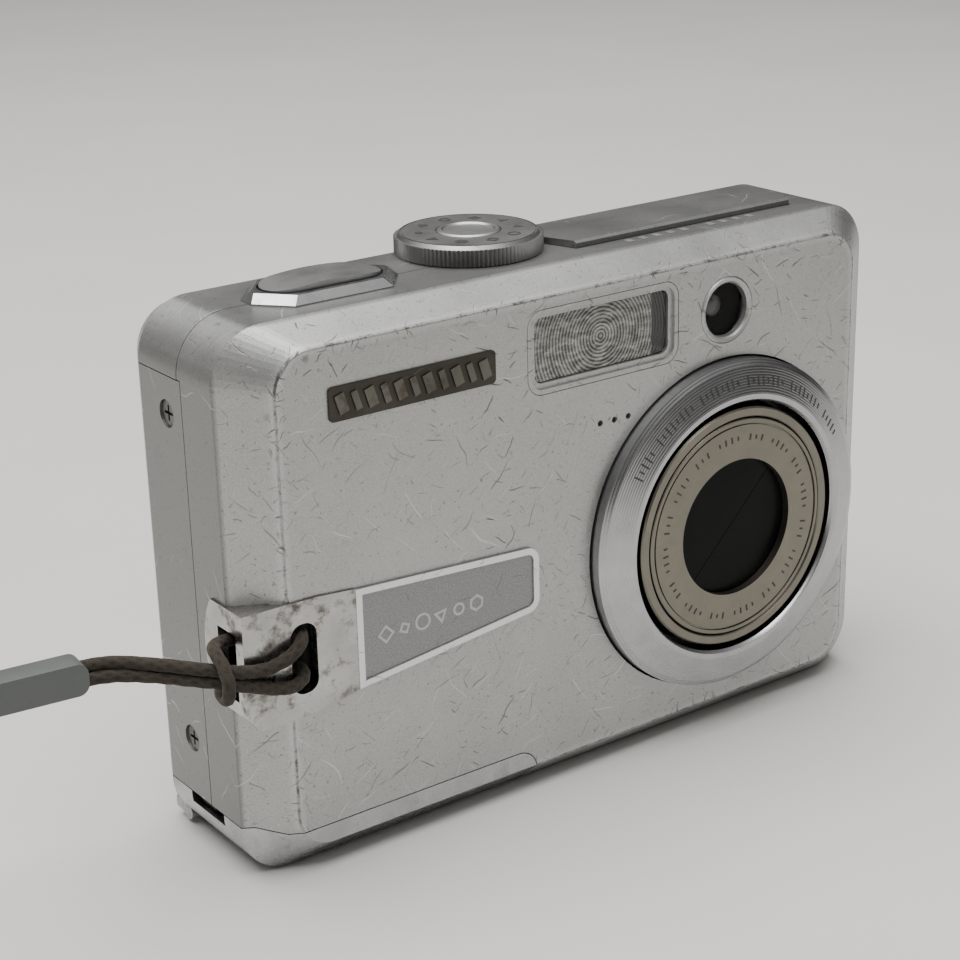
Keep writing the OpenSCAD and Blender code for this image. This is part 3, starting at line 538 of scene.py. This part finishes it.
def clear_plastic(name, tint=(0.93, 0.95, 0.95, 1), rough=0.04):
    material, tree, shader = new_finish(name, Transmission_Weight=1.0, IOR=1.49)
    smear = between(tree, cloud(tree, 4, 4, 0.6), 0.4, 0.7, rough, rough + 0.12)
    tone = blended(tree, between(tree, cloud(tree, 2, 4, 0.6, shift=3), 0.5, 0.8, 0, 0.3), tint,
                   tuple(0.85 * c for c in tint[:3]) + (1,))
    wire(tree, shader, Roughness=smear, Base_Color=tone)
    return material


def dark_coated_glass(name, base=(0.012, 0.014, 0.018, 1)):
    material, tree, shader = new_finish(name, Coat_Weight=1.0, Coat_Roughness=0.03, IOR=1.52)
    smear = between(tree, cloud(tree, 5, 4, 0.7, shift=2), 0.4, 0.75, 0.08, 0.3)
    tone = blended(tree, between(tree, cloud(tree, 1, 5, 0.7), 0.62, 0.75, 0, 0.25), base, grey(0.05))
    wire(tree, shader, Roughness=smear, Base_Color=tone)
    return material


RIB_PITCH = 0.42              # distance between the flash window's ribs, in mm


def ribbed_window():
    """Flash window: milky clear plastic with ring-shaped ribs that spread the flash; the ribs' pale and dark
    bands and the glints are painted highlights in its colour.
    """
    material, tree, shader = new_finish("ribbed_window", Transmission_Weight=0.3, IOR=1.49, Coat_Weight=0.4,
                                        Coat_Roughness=0.1)
    low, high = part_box("flash_window")
    middle = ((low.x + high.x) / 2, 0, (low.z + high.z) / 2)
    radius = from_axis(tree, middle)
    uneven = maths(tree, "MULTIPLY", maths(tree, "SUBTRACT", cloud(tree, 3.5, 2), 0.5), 0.22 * MM)
    wave = maths(tree, "SINE", maths(tree, "MULTIPLY", maths(tree, "ADD", radius, uneven),
                                     2000 * math.pi / RIB_PITCH))
    # painted highlight: the colour runs from dark to pale along the ribs and in glints, standing in for the
    # light they catch
    glints = cloud(tree, 1.6, 3, 0.7, stretch=(1, 1, 0.45), shift=14)
    painted_rib_light = between(tree, maths(tree, "ADD", wave, between(tree, glints, 0.3, 0.7, -1.5, 1.2)), -1.4, 1.6)
    place = put(tree, "ShaderNodeSeparateXYZ", {0: own_place(tree)})
    tone = blended(tree, painted_rib_light, (0.035, 0.035, 0.03, 1), (0.62, 0.63, 0.58, 1))
    dark_end = between(tree, place.outputs["X"], high.x - 2.2 * MM, high.x - 1.9 * MM)
    tone = blended(tree, dark_end, tone, grey(0.03))
    wire(tree, shader, Base_Color=tone, Normal=bumps(tree, wave, 0.04),
         Roughness=between(tree, glints, 0.3, 0.7, 0.1, 0.22))
    return material


def flash_mirror():
    """The reflector behind the flash window: bright but uneven, dark at its right end."""
    material, tree, shader = new_finish("flash_mirror", Metallic=1.0)
    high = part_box("flash_reflector")[1]
    across = put(tree, "ShaderNodeSeparateXYZ", {0: own_place(tree)}).outputs["X"]
    end = between(tree, across, high.x - 3.2 * MM, high.x - 2.8 * MM)
    folds = between(tree, cloud(tree, 2.2, 3, 0.7, stretch=(0.5, 1, 3)), 0.35, 0.65)
    tone = blended(tree, folds, grey(0.05), grey(0.5))
    tone = blended(tree, end, tone, grey(0.02))
    wire(tree, shader, Base_Color=tone, Roughness=between(tree, folds, 0, 1, 0.12, 0.25))
    return material


def quiet_glass(name):
    """Coated glass that reflects little, so the dark behind it stays dark."""
    material, tree, shader = new_finish(name, Transmission_Weight=1.0, IOR=1.15)
    smear = between(tree, cloud(tree, 4, 4, 0.6), 0.4, 0.7, 0.02, 0.08)
    tone = blended(tree, between(tree, cloud(tree, 1.5, 4, 0.6), 0.5, 0.8, 0, 0.3), grey(0.75), grey(0.6))
    wire(tree, shader, Roughness=smear, Base_Color=tone)
    return material


def inlaid_badge():
    """Bright rim round a flat inlay of matt grey grain, which lies a little deeper."""
    material, tree, shader = new_finish("inlaid_badge", Metallic=0.85)
    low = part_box("model_badge")[0]
    depth = put(tree, "ShaderNodeSeparateXYZ", {0: own_place(tree)}).outputs["Y"]
    inlay = between(tree, depth, low.y + 0.08 * MM, low.y + 0.14 * MM)
    grain = cloud(tree, 0.2, 2, 0.6)
    matt = blended(tree, between(tree, grain, 0.35, 0.65), grey(0.24), grey(0.34))
    scuffs = either(tree, hairs(tree, 3.0, 0.14, 0.5, 41), hairs(tree, 1.5, 0.1, 0.4, 43))
    tone = blended(tree, inlay, grey(0.7), matt)
    tone = blended(tree, maths(tree, "MULTIPLY", scuffs, 0.6), tone, grey(0.16))
    wire(tree, shader, Base_Color=tone, Roughness=between(tree, inlay, 0, 1, 0.2, 0.5),
         Normal=bumps(tree, maths(tree, "MULTIPLY", grain, inlay), 0.02))
    return material


def hazed_lens():
    """The small finder lens, seen as a grey disc in the dark tube."""
    material, tree, shader = new_finish("hazed_lens", Coat_Weight=1.0, Coat_Roughness=0.05)
    haze = between(tree, cloud(tree, 1.2, 4, 0.6), 0.3, 0.7)
    wire(tree, shader, Roughness=between(tree, haze, 0, 1, 0.25, 0.4),
         Base_Color=blended(tree, haze, grey(0.13), grey(0.26)))
    return material


def braid(name):
    """Brown cotton braid with a soft sheen; its grooves get painted shade, darker than the strands."""
    material, tree, shader = new_finish(name, Roughness=0.9, Sheen_Weight=0.15, Sheen_Roughness=0.5)
    shader.inputs["Sheen Tint"].default_value = (0.6, 0.5, 0.4, 1)
    strand = put(tree, "ShaderNodeAttribute", attribute_name="strand").outputs["Fac"]
    # painted shade: the colour darkens where the strand height is low, standing in for the shade in the
    # braid's grooves
    tone = blended(tree, strand, (0.004, 0.003, 0.0025, 1), (0.03, 0.023, 0.016, 1))
    fade = between(tree, cloud(tree, 2.5, 4, 0.7), 0.45, 0.7, 0.0, 0.5)
    tone = blended(tree, fade, tone, (0.042, 0.034, 0.025, 1))
    fibres = cloud(tree, 0.12, 3, 0.7, stretch=(2.5, 1, 1))
    tone = blended(tree, between(tree, fibres, 0.55, 0.75, 0.0, 0.6), tone, (0.1, 0.082, 0.06, 1))
    wire(tree, shader, Base_Color=tone, Normal=bumps(tree, fibres, 0.06))
    return material


def banded_wrap(name):
    """Battery wrap with a dark band at one end and a generic coloured body."""
    material, tree, shader = new_finish(name, Metallic=0.4, Coat_Weight=0.6, Coat_Roughness=0.15)
    low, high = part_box("battery_cells")
    height = put(tree, "ShaderNodeSeparateXYZ", {0: own_place(tree)}).outputs["Z"]
    step = between(tree, height, low.z + 0.7 * (high.z - low.z), low.z + 0.705 * (high.z - low.z))
    cap = between(tree, height, high.z - 1.1 * MM, high.z - 1.05 * MM)
    tone = blended(tree, step, (0.03, 0.03, 0.035, 1), (0.6, 0.36, 0.1, 1))
    tone = blended(tree, cap, tone, grey(0.6))
    wire(tree, shader, Base_Color=tone, Roughness=between(tree, cloud(tree, 5), 0.3, 0.7, 0.25, 0.4))
    return material


def board_green(name):
    """Circuit board: green mask over darker traces."""
    material, tree, shader = new_finish(name, Coat_Weight=0.3)
    cells = put(tree, "ShaderNodeTexVoronoi", {"Vector": own_place(tree), "Scale": 900.0},
                distance="MANHATTAN")
    trace = between(tree, cells.outputs["Distance"], 0.25, 0.32)
    tone = blended(tree, trace, (0.01, 0.1, 0.05, 1), (0.02, 0.17, 0.09, 1))
    wire(tree, shader, Base_Color=tone, Roughness=between(tree, trace, 0, 1, 0.3, 0.5))
    return material


# %% Dress the CAD nodes
finishes = {
    "silver_paint": silver_paint(),
    "chrome_trim": bright_plating("chrome_trim", (0.5, 0.5, 0.51, 1), 0.2, dirt=0.2),
    "turned_ring": turned_metal("turned_ring", (0.45, 0.45, 0.46, 1), 0.24, 0.3, 0.006),
    "champagne": turned_metal("champagne", (0.215, 0.2, 0.168, 1), 0.3, 0.12, 0.002),
    "black_plastic": moulded("black_plastic", (0.005, 0.005, 0.0055, 1), 0.5, wear=0.05,
                             Specular_IOR_Level=0.25),
    "bronze_plate": bright_plating("bronze_plate", (0.075, 0.069, 0.06, 1), 0.45, dirt=0.3),
    "clear_window": clear_plastic("clear_window"),
    "dark_glass": dark_coated_glass("dark_glass"),
    "steel": bright_plating("steel", (0.45, 0.45, 0.46, 1), 0.3, dirt=0.35),
    "circuit": board_green("circuit"),
    "brass": bright_plating("brass", (0.66, 0.5, 0.24, 1), 0.24, dirt=0.15),
    "cell_wrap": banded_wrap("cell_wrap"),
    "cord_brown": braid("cord_brown"),
    "clip_grey": moulded("clip_grey", (0.095, 0.103, 0.099, 1), 0.42, wear=0.15),
    "dark_rubber": moulded("dark_rubber", (0.045, 0.033, 0.024, 1), 0.75),
    "silver_keys": bright_plating("silver_keys", (0.42, 0.42, 0.42, 1), 0.34),
    "dial_grey": bright_plating("dial_grey", (0.34, 0.34, 0.335, 1), 0.34, dirt=0.15),
    "green_key": moulded("green_key", (0.08, 0.28, 0.12, 1), 0.35, Coat_Weight=0.5),
    "grey_flap": moulded("grey_flap", (0.25, 0.25, 0.25, 1), 0.6),
}
slot_of = {part["node"]: part["material_slot"] for part in frame["record"]["subparts"]}
for node, obj in nodes.items():
    obj.data.materials.clear()
    obj.data.materials.append(finishes[slot_of[node]])
own_finishes = {
    "flash_window": ribbed_window(),
    "flash_reflector": flash_mirror(),
    "finder_window": quiet_glass("finder_glass"),
    "finder_lens": hazed_lens(),
    "flash_bezel": silver_paint("frame_paint", crease_wear_and_light=False),
    "model_badge": inlaid_badge(),
    # painted shade: the screws' steel is made dark to stand in for the shade in their recesses; the brown
    # stains on it are dirt
    "cover_screws": bright_plating("shaded_screw_steel", (0.17, 0.165, 0.155, 1), 0.34, dirt=0.8),
    "barrier_blade_upper": moulded("blade_black", (0.002, 0.002, 0.0025, 1), 0.35, wear=0.02,
                                   Specular_IOR_Level=0.1),
}
for node, finish in own_finishes.items():
    nodes[node].data.materials[0] = finish
nodes["finder_ring"].data.materials[0] = nodes["flash_bezel"].data.materials[0]
nodes["barrier_blade_lower"].data.materials[0] = nodes["barrier_blade_upper"].data.materials[0]
print("finishes:", len(finishes))

# %% [markdown]
# ## The floor and the light
# The camera stands on a plain pale table under one large soft light close above it, so that the
# bevel along the top is nearly white while the flat top and the sides, which mirror the horizon, stay
# darker. The room is dim near the horizon and bright above; bright metal needs both to look like metal.

# %% Floor and lights
alone()
bpy.ops.mesh.primitive_circle_add(vertices=96, radius=2.5, fill_type="NGON", location=(0, 0, cad_box[0][2]))
floor = bpy.context.object
floor.name = "table_top"
table, tree, shader = new_finish("table_top", Roughness=0.75)
speckle = between(tree, cloud(tree, 60, 3, 0.5), 0.3, 0.7)
wire(tree, shader, Base_Color=blended(tree, speckle, (0.60, 0.595, 0.575, 1), (0.63, 0.625, 0.605, 1)))
floor.data.materials.append(table)


def soft_light(name, place, size, watts, colour=(1, 1, 1), aim=(0, 0, 0.03)):
    bpy.ops.object.light_add(type="AREA", location=place)
    lamp = bpy.context.object
    lamp.name = name
    lamp.data.shape = "RECTANGLE"
    lamp.data.size, lamp.data.size_y = size
    lamp.data.energy = watts
    lamp.data.color = colour
    lamp.rotation_euler = (Vector(aim) - Vector(place)).to_track_quat("-Z", "Y").to_euler()
    return lamp


soft_light("overhead", (-0.1, 0.02, 0.7), (0.8, 0.75), 10.5, (1.0, 0.99, 0.97))

world = bpy.data.worlds.new("room")
bpy.context.scene.world = world
world.use_nodes = True
sky = world.node_tree
direction = put(sky, "ShaderNodeTexCoord").outputs["Generated"]
rise = put(sky, "ShaderNodeSeparateXYZ", {0: direction}).outputs["Z"]
room = blended(sky, between(sky, rise, 0.25, 0.9), (0.07, 0.069, 0.067, 1), (0.8, 0.79, 0.775, 1))
sky.links.new(room, sky.nodes["Background"].inputs["Color"])
sky.nodes["Background"].inputs["Strength"].default_value = 0.8

# %% [markdown]
# ## Marks on the dial, the rings, the plates and the keys
# The real camera's symbols are printed or engraved. Here they are plain bars, dots and triangles that
# say nothing. Each mark starts flat in front of its surface and is projected onto the CAD node with a
# Shrinkwrap modifier, then gets a thickness of a few hundredths of a millimetre.

# %% Helpers: marks
INK = 0.03 * MM
TOWARDS_VIEWER, UPWARDS, BACKWARDS = (math.pi / 2, 0, 0), (0, 0, 0), (-math.pi / 2, 0, 0)


def bar(place, width, height, facing, slant=0.0):
    """A flat bar that faces a given way, leaning by an angle in its own plane."""
    alone()
    bpy.ops.mesh.primitive_grid_add(x_subdivisions=4, y_subdivisions=2, size=1)
    mark = bpy.context.object
    mark.scale = (width, height, 1)
    settle(mark)
    mark.rotation_euler = (0, 0, slant)
    settle(mark)
    mark.rotation_euler = facing
    mark.location = place
    return settle(mark)


def shape(place, sides, radius, facing, slant=0.0, hole=0.0):
    """A flat regular shape: a triangle, a square or a disc, as a ring when it has a hole."""
    alone()
    bpy.ops.mesh.primitive_circle_add(vertices=sides, radius=radius, fill_type="NGON")
    mark = bpy.context.object
    if hole:
        bpy.ops.object.mode_set(mode="EDIT")
        bpy.ops.mesh.select_all(action="SELECT")
        bpy.ops.mesh.inset(thickness=radius - hole)
        bpy.ops.mesh.delete(type="FACE")
        bpy.ops.object.mode_set(mode="OBJECT")
    mark.rotation_euler = (0, 0, slant)
    settle(mark)
    mark.rotation_euler = facing
    mark.location = place
    return settle(mark)


def laid_on(marks, name, node, axis, thickness=INK):
    """Joins marks, projects them onto a CAD node along one axis and gives them a thickness."""
    piece = joined(marks, name)
    apply_modifier(piece, "SHRINKWRAP", target=nodes[node], wrap_method="PROJECT", offset=thickness / 3,
                   use_negative_direction=True, use_positive_direction=True,
                   **{f"use_project_{letter}": letter == axis for letter in "xyz"})
    apply_modifier(piece, "SOLIDIFY", thickness=thickness, offset=1.0)
    return piece


dark_ink = moulded("dark_ink", (0.035, 0.035, 0.034, 1), 0.55, wear=0.3)
pale_ink = moulded("pale_ink", (0.5, 0.5, 0.48, 1), 0.5, wear=0.3)

# %% Dial marks
dial_low, dial_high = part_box("mode_dial")
DIAL_MIDDLE = Vector(((dial_low.x + dial_high.x) / 2, (dial_low.y + dial_high.y) / 2, dial_high.z))
DIAL_MARKS = ((3, 0.75, 0.0), (4, 0.8, 0.42), (24, 0.7, 0.4), (4, 0.65, 0.0), (24, 0.45, 0.0),
              (3, 0.85, 0.5), (6, 0.75, 0.0), (4, 0.8, 0.5), (24, 0.75, 0.5), (3, 0.7, 0.0))
marks = []
for number, (sides, radius, hole) in enumerate(DIAL_MARKS):
    around = 2 * math.pi * (number + 0.3) / len(DIAL_MARKS)
    place = DIAL_MIDDLE + 5.5 * MM * Vector((math.cos(around), math.sin(around), 0)) + Vector((0, 0, MM))
    marks.append(shape(place, sides, radius * MM, UPWARDS, around, hole * MM))
finished(laid_on(marks, "dial_marks", "mode_dial", "z"), "dial", dark_ink)

# %% Scale marks on the lens ring and the inner barrel
lens_x, lens_z = LENS_AXIS[0], LENS_AXIS[2]
ring_front = lens_low.y - MM


def round_the_lens(radius, start, stop, step, height, width, gaps=()):
    """Bars round the lens axis, between two angles in degrees, with gaps like those between words."""
    ticks = []
    count = int((stop - start) / step)
    for number in range(count):
        if number % 9 in gaps:
            continue
        angle = math.radians(start + number * step)
        place = (lens_x + radius * MM * math.cos(angle), ring_front, lens_z + radius * MM * math.sin(angle))
        tall = height * (1.0 if number % 3 else 0.62)
        ticks.append(bar(place, width * MM, tall * MM, TOWARDS_VIEWER, angle - math.pi / 2))
    return ticks


finished(laid_on(round_the_lens(17.6, 28, 152, 2.6, 1.05, 0.2, (5,)), "ring_scale", "lens_ring", "y"), "body",
         dark_ink)
finished(laid_on(round_the_lens(10.9, 0, 360, 5.0, 0.75, 0.2, (4, 8)), "barrel_scale", "inner_barrel", "y"),
         "lens_inner", dark_ink)

# %% Plate, badge and top marks
plate_low, plate_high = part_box("name_plate")
plate_middle = (plate_low.z + plate_high.z) / 2
plate_span = plate_high.x - plate_low.x
marks = [bar((plate_low.x + plate_span * (0.07 + 0.086 * number), plate_low.y - MM, plate_middle),
             (0.75 if number % 2 else 1.15) * MM, 2.1 * MM, TOWARDS_VIEWER, 0.3) for number in range(11)]
finished(laid_on(marks, "plate_pattern", "name_plate", "y", 0.12 * MM), "body",
         bright_plating("worn_bronze", (0.15, 0.14, 0.122, 1), 0.4, dirt=0.5))

badge_low, badge_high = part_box("model_badge")
BADGE_MARKS = ((4, 1.1), (4, 0.8), (24, 1.0), (3, 1.05), (24, 0.75), (6, 1.0))
marks = []
for number, (sides, radius) in enumerate(BADGE_MARKS):
    across = 3.6 + 2.35 * number
    place = (badge_low.x + across * MM, badge_low.y - MM, badge_low.z + (5.1 + 0.03 * across) * MM)
    marks.append(shape(place, sides, radius * MM, TOWARDS_VIEWER, 0.4 * number, (radius - 0.28) * MM))
print("badge box:", badge_low, badge_high)
finished(laid_on(marks, "badge_marks", "model_badge", "y"), "body", pale_ink)

TOP_MARK_DEPTH = 5.2          # behind the front face, in mm
ABOVE_THE_TOP = 0.07
marks = [bar((x * MM, (TOP_MARK_DEPTH - FRONT_TO_MIDDLE) * MM, ABOVE_THE_TOP), 0.9 * MM, 1.1 * MM,
             UPWARDS, 0.25 * (x % 2)) for x in range(10, 29, 2) if x != 20]
finished(laid_on(marks, "top_marks", "front_cover", "z"), "body",
         moulded("faded_ink", (0.14, 0.14, 0.138, 1), 0.5, wear=0.5))

# %% Marks on the back
def key_mark(node, sides, radius, hole, beside=0.0, above=0.0):
    """A small symbol on the rear cover, next to a key."""
    low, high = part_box(node)
    place = ((low.x + high.x) / 2 + beside * MM, high.y + MM, (low.z + high.z) / 2 + above * MM)
    return shape(place, sides, radius * MM, BACKWARDS, 0.5, hole * MM)


KEY_TO_MARK = 3.9             # from a key's middle to its symbol, in mm
marks = [key_mark("playback_button", 3, 0.8, 0.45, beside=KEY_TO_MARK),
         key_mark("menu_button", 4, 0.8, 0.45, above=KEY_TO_MARK),
         key_mark("power_button", 24, 0.75, 0.5, beside=KEY_TO_MARK),
         key_mark("mode_button", 6, 0.75, 0.0, above=KEY_TO_MARK)]
finished(laid_on(marks, "rear_marks", "rear_cover", "y"), "body", dark_ink)

rocker_low, rocker_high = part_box("zoom_rocker")
marks = []
for share, sides, radius in ((0.2, 4, 0.55), (0.8, 4, 0.95)):
    place = (rocker_low.x + share * (rocker_high.x - rocker_low.x), rocker_high.y + MM,
             (rocker_low.z + rocker_high.z) / 2)
    marks.append(shape(place, sides, radius * MM, BACKWARDS, math.pi / 4, (radius - 0.25) * MM))
finished(laid_on(marks, "rocker_marks", "zoom_rocker", "y"), "zoom_key", dark_ink)

# %% Printed mask round the screen
MASK_WIDTH = 2.2 * MM
screen_low, screen_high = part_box("lcd_window")
screen = bar(((screen_low.x + screen_high.x) / 2, screen_high.y + MM, (screen_low.z + screen_high.z) / 2),
             screen_high.x - screen_low.x - 1.2 * MM, screen_high.z - screen_low.z - 1.2 * MM, BACKWARDS)
alone(screen)
bpy.ops.object.mode_set(mode="EDIT")
bpy.ops.mesh.select_all(action="SELECT")
bpy.ops.mesh.inset(thickness=MASK_WIDTH)
bpy.ops.mesh.delete(type="FACE")
bpy.ops.object.mode_set(mode="OBJECT")
finished(laid_on([screen], "screen_mask", "lcd_window", "y"), "body",
         moulded("mask_black", (0.004, 0.004, 0.005, 1), 0.2, wear=0.03))

# %% [markdown]
# ## A lens inside the finder
# Behind the finder's round window sits a small front lens. It is a flattened ball, set a little way
# behind the window, so it shifts against the ring when the view changes.

# %% Finder lens
finder_low, finder_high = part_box("finder_window")
FINDER_DEPTH = 1.4 * MM
alone()
bpy.ops.mesh.primitive_uv_sphere_add(segments=48, ring_count=24, radius=1.25 * MM)
pupil = bpy.context.object
pupil.scale = (1, 0.3, 1)
settle(pupil)
pupil.location = ((finder_low.x + finder_high.x) / 2, finder_high.y + FINDER_DEPTH,
                  (finder_low.z + finder_high.z) / 2)
settle(pupil)
bpy.ops.object.shade_smooth()
pupil.name = "finder_front_lens"
finished(pupil, "body", hazed_lens())

# %% [markdown]
# ## The polished lug
# The lug is one bent piece of bright metal. Its edges are rolled, so the copy of its CAD node gets
# wide, round edges; that is what gives the bright lip and the dark line next to it. Its finish has
# brown stains.

# %% Lug
lug = softened("strap_lug", "lug_polished", 0.42 * MM, 4, 25)
finished(lug, "body", bright_plating("lug_metal", (0.47, 0.465, 0.45, 1), 0.18, dirt=0.8),
         ["strap_lug"])

# %% Finish the cord and its clip
clip = softened("strap_clip", "cord_clip", 0.35 * MM, 3)
finished(clip, "body", finishes["clip_grey"], ["strap_clip"])
finished(cord, "body", finishes["cord_brown"], ["strap_cord"])
